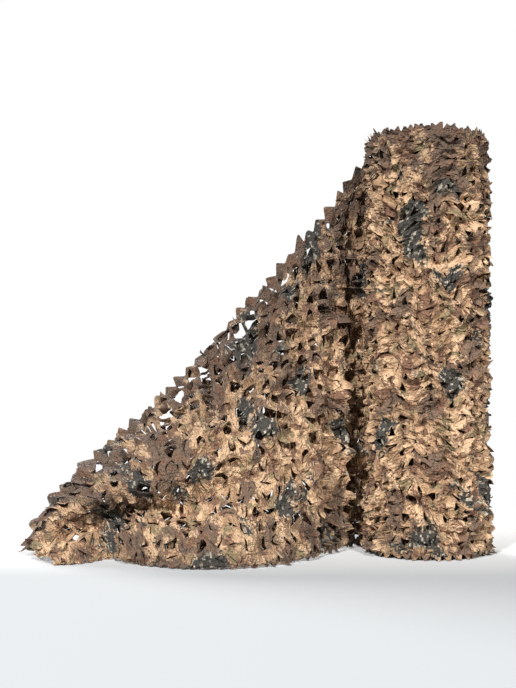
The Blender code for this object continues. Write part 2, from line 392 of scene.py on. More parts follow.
LEAVING_ANGLE = math.radians(94)
ROLL_RADIUS = 0.2125
TURN_STEP, STEP_BLEND = 0.006, (0.06, 0.10)
ROLL_LUMP, LUMP_MIDDLE = 0.0045, 0.6
ROLL_SPREAD, SPREAD_HEIGHT = 0.008, 0.5
FOOT_FLARE, FLARE_HEIGHT = 0.010, 0.09
STRAIGHT_ENDS = 0.25    # height at both ends of the roll over which the rows of cuts lie straight
ROLL_OPEN, FOOT_OPENED, OPENED_HEIGHT = 0.9, 0.2, 0.4
# Waves over the roll: height, waves round it, radians for each metre up it, and phase.
ROW_WAVES = ((0.018, 3, 4.0, 0.0), (0.007, 5, -9.0, 1.0), (0.010, 11, 13.0, 0.0))
SIDE_WAVES = ((0.05, 2, 7.0, 0.0),)
FINE_SIDE_WAVES = ((0.045, 4, 23.0, 0.0),)
LUMP_WAVES = ((1.0, 3, 9.0, 0.0), (1.0, 5, -14.0, 1.3), (1.0, 2, 5.0, 4.0))


class Wound:
    """One turn of the roll: a cylinder with the solid's lumps, set in or out by a fixed distance.

    Places are metres round the roll from where the loose end leaves it, and up. Waves move them, which makes
    the rows of cuts uneven, and others swell the radius.
    """

    slant = 1.0
    # Distance that the foot counts as in the band of umber and painted shade, and its growth upwards.
    hem_umber_and_shade = (0.14, 1.2)

    def __init__(self, offset):
        self.offset = offset

    def height(self, along):
        return np.full_like(along, ROLL_HEIGHT)

    def openness(self, along, up):
        """How far the cuts are open: a little more towards the foot."""
        return ROLL_OPEN + FOOT_OPENED * smooth_step(1.0 - up / OPENED_HEIGHT)

    def unrest(self, along, up):
        return np.ones_like(along)

    def place(self, along, up, lift):
        angle = LEAVING_ANGLE + along / ROLL_RADIUS
        middle = smooth_step(up / STRAIGHT_ENDS) * smooth_step((ROLL_HEIGHT - up) / STRAIGHT_ENDS)
        past_foot = np.maximum(-up, 0.0)
        up = up + middle * waves(ROW_WAVES, angle, up)
        angle = angle + waves(SIDE_WAVES, angle, up) + middle * waves(FINE_SIDE_WAVES, angle, up)
        turn = np.mod(angle - LEAVING_ANGLE, 2 * math.pi) / (2 * math.pi)
        free = smooth_step(turn / STEP_BLEND[0]) * smooth_step((1.0 - turn) / STEP_BLEND[1])
        lumps = waves(LUMP_WAVES, angle, up) / len(LUMP_WAVES)
        spread = (ROLL_SPREAD * smooth_step(1.0 - up / SPREAD_HEIGHT)
                  + FOOT_FLARE * smooth_step(1.0 - up / FLARE_HEIGHT))
        grown = -TURN_STEP * (1.0 - turn) + free * (ROLL_LUMP * (lumps + LUMP_MIDDLE) + spread)
        radius = ROLL_RADIUS + grown + self.offset + lift + free * past_foot
        points = np.stack((radius * np.cos(angle), radius * np.sin(angle), up), axis=-1)
        points[..., 2] = np.maximum(points[..., 2], FLOOR_CLEARANCE)
        return points


SPIRAL_RADIUS, SPIRAL_EYE, LEAST_RADIUS = 0.192, 0.02, 0.005
SPIRAL_STEP = 0.013    # drawn two to three times wider than the real turns, so that each shows
SPIRAL_SAMPLES = 4001
SPIRAL_WAVES = ((0.25, 5.3, 0.0, 1.0), (0.2, 11.7, 0.0, 0.0))    # heights in steps of the spiral


class Spiral(Wound):
    """The wound cloth inside the roll: along runs inwards round a spiral, and up runs with the axis."""

    def __init__(self):
        turns = (SPIRAL_RADIUS - SPIRAL_EYE) / SPIRAL_STEP
        self.angles = np.linspace(0.0, 2 * math.pi * turns, SPIRAL_SAMPLES)
        radii = self.radius(self.angles)
        steps = 0.5 * (radii[1:] + radii[:-1]) * np.diff(self.angles)
        self.lengths = np.concatenate(([0.0], np.cumsum(steps)))
        self.length = self.lengths[-1]

    @staticmethod
    def radius(angle):
        """Radius after an angle: one step less for each turn."""
        return SPIRAL_RADIUS - SPIRAL_STEP * angle / (2 * math.pi)

    def place(self, along, up, lift):
        angle = np.interp(along, self.lengths, self.angles)
        radius = self.radius(angle) + SPIRAL_STEP * waves(SPIRAL_WAVES, angle, 0.0)
        radius = np.maximum(radius + lift, LEAST_RADIUS)
        return np.stack((radius * np.cos(angle), radius * np.sin(angle), up), axis=-1)


# ---------------- leaf cuts

SIDE_STEPS = 6    # points on a leaf's side, from the hinge's end to its corner
HINGE_STEPS, SQUARE_STEPS = 4, 4
AROUND = 4 * SQUARE_STEPS    # points round the square, and round the cut: two sides, the tip and the hinge
RING_STEPS, LEAF_ROWS = 2, 4    # rows of faces between a cut and its square, and on a leaf

# The leaves of a sheet, in shares of the pitch and radians: ranges of width, length, corner (width over the
# hinge's), bulge of the sides, tip (length over the sides'), angle and curl; shares of the quarter turns, of
# closed leaves and of those bent inwards. shut scales the closed ones, turn slants all cuts, slack narrows
# the leaves, rim lifts the holes' edges, and the nodes between the cuts are lifted, tilted and shifted.
# Ripple and crinkle are heights in metres, swell a height and a size, reach and sink the limits of them all.
LOOSE_STYLE = {
    "width": (0.30, 0.44), "length": (0.66, 0.88), "corner": (0.10, 1.05), "bulge": (0.0, 0.08),
    "tip": (0.05, 0.6), "angle": (0.45, 1.35), "curl": (0.2, 1.1), "quarters": (0.46, 0.18, 0.18, 0.18),
    "closed": 0.10, "inward": 0.10, "shut": 1.0, "turn": 0.0, "slack": 0.24, "rim": 0.12,
    "lift": 0.13, "tilt": 0.95, "shift": 0.14, "ripple": 0.004, "crinkle": 0.0028, "swell": (0.010, 0.11),
    "reach": 0.034, "sink": 0.025,
}
UNDER_STYLE = dict(LOOSE_STYLE, width=(0.18, 0.28), length=(0.36, 0.58), closed=0.93, inward=1.0,
                   angle=(0.8, 1.2), slack=0.0, shut=0.15, reach=0.010)
ROLL_STYLE = {
    "width": (0.28, 0.42), "length": (0.70, 0.90), "corner": (0.10, 0.95), "bulge": (0.0, 0.06),
    "tip": (0.15, 0.9), "angle": (0.25, 1.4), "curl": (0.1, 1.1), "quarters": (0.34, 0.22, 0.22, 0.22),
    "closed": 0.12, "inward": 0.10, "shut": 1.0, "turn": 0.25 * math.pi, "slack": 0.12, "rim": 0.20,
    "lift": 0.26, "tilt": 1.35, "shift": 0.20, "ripple": 0.005, "crinkle": 0.0030, "swell": (0.013, 0.065),
    "reach": 0.034, "sink": 0.020,
}
HINGE_SHIFT, LEAN, SPIN, TWIST = (-0.02, 0.04), 0.10, 0.22, 0.5
CLOSED_ANGLE, CLOSED_CURL = (0.02, 0.2), (0.05, 0.5)
JITTER, CUT_LIMIT = 0.02, 0.455    # unevenness of the cut, and its limit inside the square
NODE_REACH, NODE_BLEND = 0.78, 0.56
RIPPLE_SIZE, CRINKLE_SIZE, CRINKLE_TABLE, SWELL_PLACE = 0.016, 0.0065, 256, (7.3, 3.1)
# Where the cloth is low, towards the tip, it counts as further from its edges, for less umber and painted
# shade.
NARROWING, LOW_CLOTH, LOW_BLEND = 3.0, 0.55, 0.20


def square_outline():
    """Points round the unit square, from its upper left corner down the left side and back over the top."""
    side = np.linspace(0.5, -0.5, SQUARE_STEPS + 1)[:-1]
    half = np.full(SQUARE_STEPS, 0.5)
    x = np.concatenate((-half, -side, half, side))
    return np.stack((x, np.concatenate((side, -half, -side, half))), axis=1)


def side_width(share, corner, bulge):
    """Half the leaf's width at a share of its side's length: a straight taper, bowed out by a bulge."""
    return 1.0 + (corner - 1.0) * share + 4.0 * bulge * share * (1.0 - share)


def cut_outline(width, length, hinge, corner, bulge, tip, skew):
    """The cut of each leaf in its own square, as points that answer to those of the square's outline.

    From the ends of the straight hinge the sides run down to the leaf's corners, and from those to its tip.
    """
    share = np.linspace(0.0, 1.0, SIDE_STEPS)[None, :]
    wide = width[:, None] * side_width(share, corner[:, None], bulge[:, None])
    side_length = (length / (1.0 + tip))[:, None]
    down = hinge[:, None] - side_length * share
    lean = skew[:, None] * share
    left = np.stack((lean - wide, down), axis=-1)
    right = np.stack((lean + wide, down), axis=-1)[:, ::-1]
    point = np.stack((skew, hinge - length), axis=-1)[:, None]
    part = np.linspace(1.0, -1.0, HINGE_STEPS + 1)[None, 1:-1]
    top = np.stack((width[:, None] * part, hinge[:, None] + 0.0 * part), axis=-1)
    return np.concatenate((left, point, right, top), axis=1)


def leaf_points(slack, *values):
    """The leaf that the cut frees, as a grid of points in its square and their lift, in shares of the pitch.

    Along its length the leaf is an arc that starts at open_angle and bends by curl, and twist lifts one side.
    It narrows by slack, because the hole round it is pulled wider.
    """
    share = np.linspace(0.0, 1.0, LEAF_ROWS + 1)[None, :, None]
    across = np.linspace(-1.0, 1.0, HINGE_STEPS + 1)[None, None, :]
    width, length, hinge, corner, bulge, tip, skew, open_angle, curl, twist = (
        value[:, None, None] for value in values)
    wide = width * side_width(share, corner, bulge) * (1.0 - slack * np.sqrt(share))
    reach = share * (1.0 + tip * (1.0 - np.abs(across))) / (1.0 + tip)
    flat = length * (np.sin(open_angle + curl * reach) - np.sin(open_angle)) / curl
    lift = length * (np.cos(open_angle) - np.cos(open_angle + curl * reach)) / curl
    return across * wide + skew * share, hinge - flat, lift + twist * across * share * width


def grid_faces(starts, rows, columns, around=False):
    """Quads of several grids of points, each rows by columns, that start at the given indices.

    Rings that close around are wound the other way, because their rows run inwards.
    """
    row, column = np.meshgrid(np.arange(rows - 1), np.arange(columns - (not around)), indexing="ij")
    here = (row * columns + column).ravel()
    after = (row * columns + (column + 1) % columns).ravel()
    corners = (here, after, after + columns, here + columns)
    quad = np.stack(corners if around else corners[:1] + corners[:0:-1], axis=-1)
    return (starts[:, None, None] + quad[None]).reshape(-1, 4)


def turned(x, y, cosine, sine):
    """Points turned about the middle of their square."""
    return x * cosine - y * sine, x * sine + y * cosine


def node_moves(random, columns, rows, style, around, column, row, x, y):
    """Lift and shifts, in shares of the pitch, at x and y in the square of each column and row.

    The net's star-shaped nodes, one at each corner of the squares, move at random, blended between them.
    """
    nodes = random.uniform(-1.0, 1.0, (columns + 1, rows + 1, 5))
    nodes *= np.array([style[name] for name in ("lift", "tilt", "tilt", "shift", "shift")])
    if around:
        nodes[-1] = nodes[0]
    moves = 0.0
    for i, j in ((0, 0), (0, 1), (1, 0), (1, 1)):
        lift, tilt_x, tilt_y, shift_x, shift_y = nodes[column + i, row + j].T[..., None]
        away_x, away_y = x - (i - 0.5), y - (j - 0.5)
        weight = (smooth_step((NODE_REACH - np.abs(away_x)) / NODE_BLEND)
                  * smooth_step((NODE_REACH - np.abs(away_y)) / NODE_BLEND))
        lift = lift + tilt_x * away_x + tilt_y * away_y
        moves = moves + weight * np.stack(np.broadcast_arrays(lift, shift_x, shift_y))
    return moves


def selvedge_distance(surface, along, up):
    """Distance from the nearer selvedge.

    The lower one counts as further off, for less umber and painted shade, and so do both where the cloth is
    low.
    """
    height = surface.height(along)
    narrowed = 1.0 + NARROWING * smooth_step((LOW_CLOTH - height) / LOW_BLEND)
    low, growth = surface.hem_umber_and_shade
    return narrowed * np.minimum(surface.slant * (height - up), low + growth * up)


def flat_places(surface, along, up):
    """Places on the flat cloth with their distance from the selvedge, as rows."""
    return np.stack((along, up, selvedge_distance(surface, along, up)), axis=-1).reshape(-1, 3)


def leaf_net(surface, pitch, columns, rows, seed, style, trim, around=False):
    """Points, faces and flat places of a net of leaf cuts on a surface.

    Each square of columns by rows holds one cut: a ring of faces from the square to the cut, and the leaf
    that hangs in it. The nodes' moves and three sizes of noise lift the cloth. trim(along, up) is over 0
    where a face is past the cloth's edge, and around closes the net round the roll.
    """
    random = np.random.default_rng(seed)
    column, row = [index.ravel() for index in np.meshgrid(np.arange(columns), np.arange(rows), indexing="ij")]
    count = len(column)

    def drawn(low, high):
        return random.uniform(low, high, count)

    width, length, corner, bulge, tip = [
        drawn(*style[name]) for name in ("width", "length", "corner", "bulge", "tip")]
    hinge = 0.5 * length + drawn(*HINGE_SHIFT)
    skew = drawn(-LEAN, LEAN)
    quarter = random.choice(4, count, p=style["quarters"])
    spin = style["turn"] + drawn(-SPIN, SPIN)
    closed = drawn(0, 1) < style["closed"]
    inward = drawn(0, 1) < style["inward"]
    open_share = surface.openness((column + 0.5) * pitch[0], (row + 0.5) * pitch[1])
    shut = style["shut"]
    open_angle = np.where(closed, shut * drawn(*CLOSED_ANGLE), drawn(*style["angle"])) * open_share
    curl = np.where(closed, shut * drawn(*CLOSED_CURL), drawn(*style["curl"])) * open_share
    twist = drawn(-TWIST, TWIST)
    rim_tilt = drawn(0.0, 1.0)[:, None] * style["rim"]
    rim_turn = drawn(0.0, 2 * math.pi)[:, None]
    cosine, sine = np.cos(spin)[:, None], np.sin(spin)[:, None]

    # The square's outline starts further round by the turn, so that its points stay next to the cut's.
    outline = np.roll(square_outline(), -round(style["turn"] / (2 * math.pi / AROUND)), axis=0)
    outer = np.broadcast_to(outline[None], (count, AROUND, 2))
    inner = cut_outline(width, length, hinge, corner, bulge, tip, skew)
    inner = inner + random.uniform(-JITTER, JITTER, inner.shape)
    inner = np.stack(turned(inner[..., 0], inner[..., 1], cosine, sine), axis=-1)
    inner = np.clip(inner, -CUT_LIMIT, CUT_LIMIT)
    share = np.linspace(0.0, 1.0, RING_STEPS + 1)[None, :, None, None]
    ring = outer[:, None] * (1 - share) + inner[:, None] * share
    ring_x, ring_y = ring[..., 0].reshape(count, -1), ring[..., 1].reshape(count, -1)
    rim = np.broadcast_to(share[..., 0] ** 2, ring.shape[:3]).reshape(count, -1)
    ring_lift = rim * rim_tilt * np.cos(np.arctan2(ring_y, ring_x) - rim_turn)

    leaf_x, leaf_y, leaf_lift = leaf_points(style["slack"], width, length, hinge, corner, bulge, tip, skew,
                                            open_angle, curl, twist)
    leaf_x, leaf_y = turned(leaf_x.reshape(count, -1), leaf_y.reshape(count, -1), cosine, sine)
    leaf_lift = (leaf_lift * np.where(inward, -1.0, 1.0)[:, None, None]).reshape(count, -1)
    leaf_lift = leaf_lift + rim_tilt * np.cos(0.5 * math.pi + spin[:, None] - rim_turn)

    x, y, lift = (np.concatenate(parts, axis=1)
                  for parts in ((ring_x, leaf_x), (ring_y, leaf_y), (ring_lift, leaf_lift)))
    x, y = turned(x, y, np.array([1, 0, -1, 0])[quarter][:, None], np.array([0, 1, 0, -1])[quarter][:, None])
    bumped, shift_x, shift_y = node_moves(random, columns, rows, style, around, column, row, x, y)
    along = (column[:, None] + 0.5 + x + shift_x) * pitch[0]
    up = (row[:, None] + 0.5 + y + shift_y) * pitch[1]
    unrest = surface.unrest(along, up)
    lift = (lift + bumped * unrest) * 0.5 * (pitch[0] + pitch[1])
    lift = lift + unrest * style["ripple"] * value_noise(along / RIPPLE_SIZE, up / RIPPLE_SIZE, random)
    lift = lift + unrest * style["crinkle"] * value_noise(along / CRINKLE_SIZE, up / CRINKLE_SIZE, random,
                                                          CRINKLE_TABLE)
    swell, size = style["swell"]
    lift = lift + swell * value_noise(along / size + SWELL_PLACE[0], up / size + SWELL_PLACE[1], random)
    limit = np.where(lift > 0.0, style["reach"], style["sink"])
    lift = limit * np.tanh(lift / limit)

    points = surface.place(along, up, lift).reshape(-1, 3)
    starts = np.arange(count) * x.shape[1]
    flat = flat_places(surface, along, up)
    rings = grid_faces(starts, RING_STEPS + 1, AROUND, around=True)
    middles = flat[rings].mean(axis=1)
    starts = starts + ring_x.shape[1]
    hinges = flat[starts + HINGE_STEPS // 2]
    kept, whole = (trim(places[:, 0], places[:, 1]) <= 0.0 for places in (middles, hinges))
    leaves = grid_faces(starts[whole], LEAF_ROWS + 1, HINGE_STEPS + 1)
    return points, np.concatenate((rings[kept], leaves)), flat


# Chains of leaves along cut edges: width of the strip, its points' share of the leaf point, pitch, the flat
# direction past the edge, and what is added to the seed.
CHAINS = {
    "selvedge": (0.026, 0.80, 0.056, 0.75, 1.30, 1),
    "hem": (0.016, 0.70, 0.050, 0.10, -1.00, 2),
    "roll top": (0.030, 1.05, 0.048, 0.10, 1.00, 3),
    "roll foot": (0.020, 1.00, 0.038, 0.10, -1.00, 4),
    "upper turns": (0.050, 1.30, 0.052, 0.10, 1.00, 31),
}
CHAIN_STEPS, CHAIN_ROWS = 10, 5
UNEVEN_CHAIN = (0.3, 1.7)    # how far the leaves' places wander, and over how much, in pitches
# Base and range of the peak's place on the leaf, of the point's height and of the strip's width inwards.
PEAK, POINT_HEIGHT, CHAIN_INSIDE = (0.38, 0.24), (0.5, 0.7), (0.4, 0.9)
CUT_OFF, INSIDE_RISE = 0.35, 1.6
CHAIN_SWAY, CHAIN_TILT = 1.2, (0.45, 1.4)
CHAIN_RIPPLE, CHAIN_BOW = (0.008, 0.035, 1.5), 0.006


def edge_chain(surface, length, line, kind, point, seed):
    """A strip along a cut edge: a chain of leaves that stand out past it, with narrow ties between them.

    line gives the flat places at distances along the edge. Each leaf rises over its pitch to a pointed or
    cut-off peak and falls again, leans and tilts at random, and widens inwards at its middle.
    """
    width, share_of_point, pitch, past_along, past_up, own_seed = CHAINS[kind]
    random = np.random.default_rng(seed + own_seed)
    steps = int(length / (pitch / CHAIN_STEPS))
    distance = np.linspace(0.0, length, steps + 1)
    wander, over = UNEVEN_CHAIN
    uneven = wander * value_noise(distance / (over * pitch), 0.0 * distance + 0.5, random)
    uneven = distance / pitch + uneven + 1.0
    leaf = np.floor(uneven).astype(int)
    part = uneven - leaf
    top, height, lean, tilt, sway = (random.uniform(0, 1, leaf.max() + 2)[leaf] for _ in range(5))
    peak = PEAK[0] + PEAK[1] * lean
    rise = np.where(part < peak, part / peak, (1 - part) / (1 - peak))
    outer = (share_of_point * point * (POINT_HEIGHT[0] + POINT_HEIGHT[1] * height)
             * np.clip(rise * (1.0 + CUT_OFF * top ** 2), 0.0, 1.0))
    inner = -width * (CHAIN_INSIDE[0] + CHAIN_INSIDE[1] * np.clip(rise * INSIDE_RISE, 0.0, 1.0))
    share = np.linspace(0.0, 1.0, CHAIN_ROWS)[None, :]
    reach = inner[:, None] * (1 - share) + outer[:, None] * share
    past = np.maximum(reach, 0.0)
    drift = CHAIN_SWAY * (sway - 0.5)[:, None] * past
    place = line(distance)
    along = place[:, :1] + past_along * reach + past_up * drift
    up = place[:, 1:] + past_up * reach - past_along * drift
    ripple, ripple_length, ripple_rows = CHAIN_RIPPLE
    inwards, tilted = CHAIN_TILT
    lift = ripple * value_noise(distance[:, None] / ripple_length, share * ripple_rows, random)
    lift = lift + (tilt[:, None] - inwards) * tilted * past
    lift = lift + CHAIN_BOW * ((sway - 0.5) * np.sin(math.pi * part))[:, None]
    points = surface.place(along, up, lift).reshape(-1, 3)
    return points, grid_faces(np.array([0]), steps + 1, CHAIN_ROWS), flat_places(surface, along, up)


def joined(*parts):
    """Several sets of points, faces and flat places as one."""
    points, faces, flat = zip(*parts)
    starts = np.cumsum([0] + [len(part) for part in points])
    return (np.concatenate(points), np.concatenate([part + start for part, start in zip(faces, starts)]),
            np.concatenate(flat))


WELD_DISTANCE = 0.0002


def welded(points, faces):
    """The same faces with points at one place made one."""
    keys = np.round(points / WELD_DISTANCE).astype(np.int64)
    _, first, where = np.unique(keys, axis=0, return_index=True, return_inverse=True)
    faces = where.reshape(-1)[faces]
    used = np.unique(faces)
    order = np.full(len(first), -1)
    order[used] = np.arange(len(used))
    return points[first][used], order[faces]


def cloth_object(name, shape, material, thickness=0.0):
    """A mesh object of quads, where one with a doubled corner turns into a triangle.

    The flat places go in as its UV map, in metres, and their distance from the selvedge as an attribute.
    Without a thickness it stays a single surface, which keeps the large sheets under 200,000 triangles.
    """
    points, faces, flat = shape
    places = flat[faces]
    points, faces = welded(points, faces)
    doubled = faces == np.roll(faces, -1, axis=1)
    corners = 4 - doubled.sum(axis=1)
    whole = corners >= 3
    faces, doubled, corners, places = faces[whole], doubled[whole], corners[whole], places[whole]
    loops, places = faces[~doubled], places[~doubled]
    mesh = bpy.data.meshes.new(name)
    mesh.vertices.add(len(points))
    mesh.vertices.foreach_set("co", points.astype(np.float32).ravel())
    mesh.loops.add(len(loops))
    mesh.loops.foreach_set("vertex_index", loops.astype(np.int32))
    mesh.polygons.add(len(corners))
    mesh.polygons.foreach_set("loop_start", np.concatenate(([0], np.cumsum(corners)[:-1])).astype(np.int32))
    layer = mesh.uv_layers.new(name="Flat cloth")
    layer.data.foreach_set("uv", places[:, :2].astype(np.float32).ravel())
    distance = mesh.attributes.new("from_selvedge", "FLOAT", "CORNER")
    distance.data.foreach_set("value", places[:, 2].astype(np.float32))
    mesh.validate()
    mesh.update(calc_edges=True)
    mesh.materials.append(material)
    mesh.shade_flat()
    piece = add_object(name, mesh)
    if thickness:
        solidify = piece.modifiers.new("Thickness", "SOLIDIFY")
        solidify.thickness = thickness
        solidify.offset = 0.0
    return piece


# ---------------- materials

# Layers of the print: size of its blotches in metres, or None for that of the patches, detail, roughness,
# place in the noise, and the range over which it sets in.
PRINT_LAYERS = {
    "tan": (0.090, 3.0, 0.60, 3.7, 0.49, 0.52),
    "brown": (0.065, 3.0, 0.65, 9.1, 0.57, 0.59),
    "khaki": (0.060, 2.0, 0.60, 15.3, 0.61, 0.62),
    "umber": (0.150, 3.0, 0.60, 41.7, 0.575, 0.595),
    "patch": (None, 3.0, 0.50, 33.1, 0.612, 0.622),
    "speck": (0.018, 1.0, 0.50, 31.3, 0.62, 0.64),
}
LAYERS_OVER_SAND = ("tan", "khaki", "umber", "brown", "patch")
RAGGED, SQUARE_TONES = 0.035, (0.84, 1.16)    # how far the squares vary the layers' borders, and their tone
# Width of the band along the edges, the umber added at the edge, and the painted shade there: a factor that
# darkens all colours.
BORDER_WIDTH, BORDER_UMBER, BORDER_PAINTED_SHADE = 0.29, 0.18, 0.60
# Size, strength and depth of the creases and of the weave. Its threads are 0.5 mm apart in the real cloth,
# too fine to see here, so they are drawn at 2.5 mm.
CREASED = ((0.017, 0.7, 0.007), (0.0085, 0.9, 0.005))
WOVEN = (0.0025, 0.15, 0.0006)
# Size and range of the inner turns' mottle, and its dark and light tones: painted light and shade of their
# crumples.
MOTTLE_SIZE, MOTTLE_RANGE, CRUMPLE_SHADE_TONES = 0.03, (0.35, 0.65), (0.6, 1.5)


def add_node(tree, kind, inputs=None, **settings):
    """Adds a node: settings are its own values, and inputs are values or links by socket name or index."""
    node = tree.nodes.new(kind)
    for name, value in settings.items():
        setattr(node, name, value)
    for name, value in (inputs or {}).items():
        if isinstance(value, bpy.types.NodeSocket):
            tree.links.new(value, node.inputs[name])
        else:
            node.inputs[name].default_value = value
    return node


def empty_material(name):
    """A new material and its node tree, with no nodes in it."""
    material = bpy.data.materials.new(name)
    material.use_nodes = True
    material.node_tree.nodes.clear()
    return material, material.node_tree


def print_colour(tree, flat, tint):
    """The print: sand, with blotches of each layer where noise passes its range, broken up into squares.

    In the band along the selvedges the umber sets in sooner, and all colours are darkened as painted shade.
    """
    look = bpy.context.scene.net_print

    def toned(name):
        return tuple(channel * part for channel, part in zip(getattr(look, name), tint)) + (1.0,)

    distance = add_node(tree, "ShaderNodeAttribute", attribute_name="from_selvedge").outputs["Fac"]
    border = add_node(tree, "ShaderNodeMapRange",
                      {"Value": distance, "From Min": 0.0, "From Max": BORDER_WIDTH,
                       "To Min": BORDER_UMBER, "To Max": 0.0}).outputs[0]
    squares = add_node(tree, "ShaderNodeVectorMath", {0: flat, 1: (look.square,) * 3},
                       operation="SNAP").outputs[0]
    grain = add_node(tree, "ShaderNodeTexWhiteNoise", {"Vector": squares}, noise_dimensions="2D").outputs[0]
    ragged = add_node(tree, "ShaderNodeMapRange",
                      {"Value": grain, "To Min": -RAGGED, "To Max": RAGGED}).outputs[0]
    masks = {}
    for layer, (size, detail, rough, offset, low, high) in PRINT_LAYERS.items():
        moved = add_node(tree, "ShaderNodeVectorMath", {0: squares, 1: (offset, offset, 0)}, operation="ADD")
        noise = add_node(tree, "ShaderNodeTexNoise",
                         {"Vector": moved.outputs[0], "Scale": 1.0 / (size or look.patch), "Detail": detail,
                          "Roughness": rough}, noise_dimensions="2D").outputs[0]
        value = add_node(tree, "ShaderNodeMath", {0: noise, 1: ragged}, operation="ADD").outputs[0]
        if layer == "umber":
            value = add_node(tree, "ShaderNodeMath", {0: value, 1: border}, operation="ADD").outputs[0]
        masks[layer] = add_node(tree, "ShaderNodeMapRange",
                                {"Value": value, "From Min": low, "From Max": high}).outputs[0]
    tones = {layer: toned(layer) for layer in LAYERS_OVER_SAND if layer != "patch"}
    tones["patch"] = add_node(tree, "ShaderNodeMix",
                              {0: masks["speck"], 6: toned("charcoal"), 7: toned("speck")},
                              data_type="RGBA").outputs[2]
    colour = toned("sand")
    for layer in LAYERS_OVER_SAND:
        colour = add_node(tree, "ShaderNodeMix", {0: masks[layer], 6: colour, 7: tones[layer]},
                          data_type="RGBA").outputs[2]
    # The squares' tones vary at random, and the band along the edges is darkened as painted shade.
    for value, levels in ((grain, {"To Min": SQUARE_TONES[0], "To Max": SQUARE_TONES[1]}),
                          (border, {"From Max": BORDER_UMBER, "To Min": 1.0, "To Max": BORDER_PAINTED_SHADE})):
        factor = add_node(tree, "ShaderNodeMapRange", {"Value": value, **levels}).outputs[0]
        colour = add_node(tree, "ShaderNodeVectorMath", {0: colour, 1: factor},
                          operation="MULTIPLY").outputs[0]
    return colour


def creased_normal(tree, flat):
    """Angular creases of two sizes, as coated cloth keeps them, and the weave over them."""
    bumps = [(add_node(tree, "ShaderNodeTexVoronoi", {"Vector": flat, "Scale": 1.0 / size},
                       voronoi_dimensions="2D", distance="MANHATTAN").outputs["Distance"], strength, depth)
             for size, strength, depth in CREASED]
    spacing, *woven = WOVEN
    weave = add_node(tree, "ShaderNodeTexChecker", {"Vector": flat, "Scale": 1.0 / spacing}).outputs["Fac"]
    under = {}
    for height, strength, depth in (*bumps, (weave, *woven)):
        bump = add_node(tree, "ShaderNodeBump",
                        {"Height": height, "Strength": strength, "Distance": depth, **under})
        under = {"Normal": bump.outputs[0]}
    return bump.outputs[0]


def printed_cloth(name, tint=WHITE):
    """Polyester oxford, woven, printed in small squares and coated: matt, with a faint sheen off the threads.

    The print lies in the flat cloth, so it is cut, bent and turned with the leaves.
    """
    material, tree = empty_material(name)
    flat = add_node(tree, "ShaderNodeUVMap", uv_map="Flat cloth").outputs[0]
    shader = add_node(tree, "ShaderNodeBsdfPrincipled",
                      {"Base Color": print_colour(tree, flat, tint), "Roughness": 0.70,
                       "Sheen Weight": 0.06, "Sheen Roughness": 0.5, "Normal": creased_normal(tree, flat)})
    add_node(tree, "ShaderNodeOutputMaterial", {"Surface": shader.outputs[0]})
    return material


def inner_cloth(name):
    """The same cloth deep in the roll, matt, painted dark for its shade, mottled with painted crumple light
    and shade.
    """
    look = bpy.context.scene.net_print
    material, tree = empty_material(name)
    place = add_node(tree, "ShaderNodeTexCoord").outputs["Object"]
    mottle = add_node(tree, "ShaderNodeTexNoise",
                      {"Vector": place, "Scale": 1.0 / MOTTLE_SIZE, "Detail": 3.0}).outputs[0]
    share = add_node(tree, "ShaderNodeMapRange",
                     {"Value": mottle, "From Min": MOTTLE_RANGE[0], "From Max": MOTTLE_RANGE[1]}).outputs[0]
    dark, light = (tuple(channel * part for channel in look.inside) + (1.0,) for part in CRUMPLE_SHADE_TONES)
    colour = add_node(tree, "ShaderNodeMix", {0: share, 6: dark, 7: light}, data_type="RGBA").outputs[2]
    bump = add_node(tree, "ShaderNodeBump", {"Height": mottle, "Strength": 0.6, "Distance": 0.008})
    shader = add_node(tree, "ShaderNodeBsdfPrincipled",
                      {"Base Color": colour, "Roughness": 0.95, "Normal": bump.outputs[0]})
    add_node(tree, "ShaderNodeOutputMaterial", {"Surface": shader.outputs[0]})
    return material


def painted_floor(name, colour):
    """Matt painted board, grey in front and nearly white towards its back, where it meets the pale sky:
    painted light.
    """
    material, tree = empty_material(name)
    place = add_node(tree, "ShaderNodeTexCoord").outputs["Object"]
    depth = add_node(tree, "ShaderNodeSeparateXYZ", {0: place}).outputs["Y"]
    share = add_node(tree, "ShaderNodeMapRange",
                     {"Value": depth, "From Min": FLOOR_FADE_START, "From Max": FLOOR_BACK}).outputs[0]
    colour = add_node(tree, "ShaderNodeMix", {0: share, 6: (*colour, 1.0), 7: (*WHITE, 1.0)},
                      data_type="RGBA").outputs[2]
    shader = add_node(tree, "ShaderNodeBsdfPrincipled", {"Base Color": colour, "Roughness": 0.9})
    add_node(tree, "ShaderNodeOutputMaterial", {"Surface": shader.outputs[0]})
    return material


# ---------------- pieces

WAVE_PHASE = 4.2


def level_line(height, wave=0.0):
    """A line at a height, with one wave in each turn of the roll, as flat places at distances along it."""
    return lambda distance: np.stack(
        (distance, height + wave * np.sin(distance / ROLL_RADIUS + WAVE_PHASE)), axis=-1)


SELVEDGE_TRIM, HEM_TRIM, HEM_LINE = 0.012, 0.010, 0.012    # where the cuts end and the chains begin
UNDER_BAND, UNDER_HEM_TRIM = (0.040, 0.03), 0.012    # from the edges to the layer behind, and unevenness
UNDER_UNEVEN, UNDER_CLOSES = (0.031, 0.083), (0.2, 0.5)    # its waves, and the heights where it sets in
UNDER_SEED = 5


